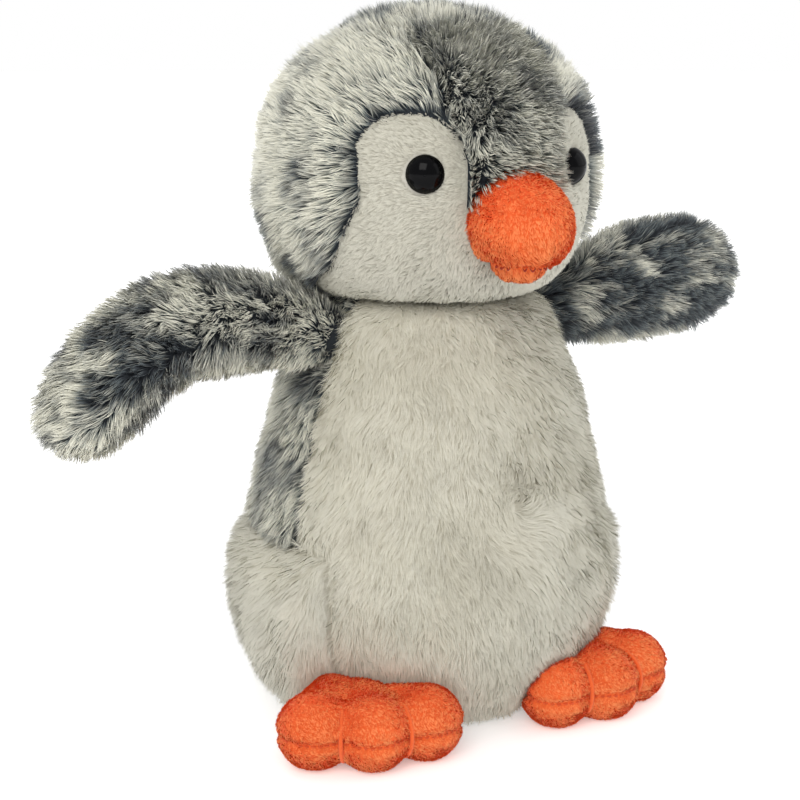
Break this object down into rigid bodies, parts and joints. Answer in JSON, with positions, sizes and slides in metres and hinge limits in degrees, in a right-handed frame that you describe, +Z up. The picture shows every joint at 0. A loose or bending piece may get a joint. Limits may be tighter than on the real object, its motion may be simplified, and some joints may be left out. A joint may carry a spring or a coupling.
{
  "type": "plush penguin",
  "caption": "Standing soft toy penguin with a furry grey hood and wings, white face and belly, orange beak and three-toed feet.",
  "frame": {"origin": "centre of the flat base panel, on its underside at floor level", "axes": "+Z up, -Y the way the penguin faces, +X towards its left wing"},
  "size_m": [0.2586, 0.1369, 0.225],
  "materials": {
    "white_fur": "long soft white pile",
    "frosted_fur": "long pile, dark at the root and pale at the tip",
    "face_plush": "short smooth white pile",
    "orange_plush": "short dense orange pile",
    "stuffing": "polyester fibre filling",
    "pouch_cloth": "plain woven cloth",
    "dark_thread": "twisted thread",
    "orange_thread": "twisted thread",
    "pellet_plastic": "matt",
    "eye_plastic": "polished black",
    "washer_plastic": "matt white"
  },
  "bodies": {
    "torso": {"belly_panel": "white_fur", "back_panel_left": "frosted_fur", "back_panel_right": "frosted_fur", "thigh_panel_left": "white_fur", "thigh_panel_right": "white_fur", "base_panel": "white_fur", "torso_stuffing": "stuffing", "pellet_pouch": "pouch_cloth", "pellets": "pellet_plastic", "closing_seam": "dark_thread"},
    "neck": {"neck_stuffing": "stuffing"},
    "head": {"face_panel": "face_plush", "crown_panel": "frosted_fur", "cap_side_left": "frosted_fur", "cap_side_right": "frosted_fur", "head_stuffing": "stuffing", "beak_upper": "orange_plush", "beak_lower": "orange_plush", "beak_stuffing": "stuffing", "eye_left": "eye_plastic", "eye_right": "eye_plastic", "eye_washer_left": "washer_plastic", "eye_washer_right": "washer_plastic"},
    "wing_left": {"wing_left_front": "frosted_fur", "wing_left_back": "frosted_fur", "wing_left_stuffing": "stuffing"},
    "wing_right": {"wing_right_top": "frosted_fur", "wing_right_under": "frosted_fur", "wing_right_stuffing": "stuffing"},
    "foot_left": {"foot_left_top": "orange_plush", "foot_left_sole": "orange_plush", "foot_left_stuffing": "stuffing", "foot_left_stitches": "orange_thread"},
    "foot_right": {"foot_right_top": "orange_plush", "foot_right_sole": "orange_plush", "foot_right_stuffing": "stuffing", "foot_right_stitches": "orange_thread"}
  },
  "joints": [
    {"name": "head_turn", "type": "hinge", "parent": "torso", "child": "neck", "pos_m": [0, 0, 0.11], "axis": [0, 0, 1], "range_deg": [-30, 30], "stiffness_Nm_per_rad": 0.3},
    {"name": "head_nod", "type": "hinge", "parent": "neck", "child": "head", "pos_m": [0, 0, 0.11], "axis": [1, 0, 0], "range_deg": [-9, 9], "stiffness_Nm_per_rad": 0.6},
    {"name": "wing_left_flap", "type": "hinge", "parent": "torso", "child": "wing_left", "pos_m": [0.041, 0, 0.127], "axis": [0, -1, 0], "range_deg": [-12, 14], "stiffness_Nm_per_rad": 0.08},
    {"name": "wing_right_flap", "type": "hinge", "parent": "torso", "child": "wing_right", "pos_m": [-0.041, 0, 0.127], "axis": [0, 1, 0], "range_deg": [-16, 28], "stiffness_Nm_per_rad": 0.08},
    {"name": "foot_left_flex", "type": "hinge", "parent": "torso", "child": "foot_left", "pos_m": [0.03, -0.034, 0.005], "axis": [-1, 0, 0], "range_deg": [-2, 7], "stiffness_Nm_per_rad": 0.15},
    {"name": "foot_right_flex", "type": "hinge", "parent": "torso", "child": "foot_right", "pos_m": [-0.041, -0.034, 0.005], "axis": [-1, 0, 0], "range_deg": [-2, 7], "stiffness_Nm_per_rad": 0.15}
  ]
}
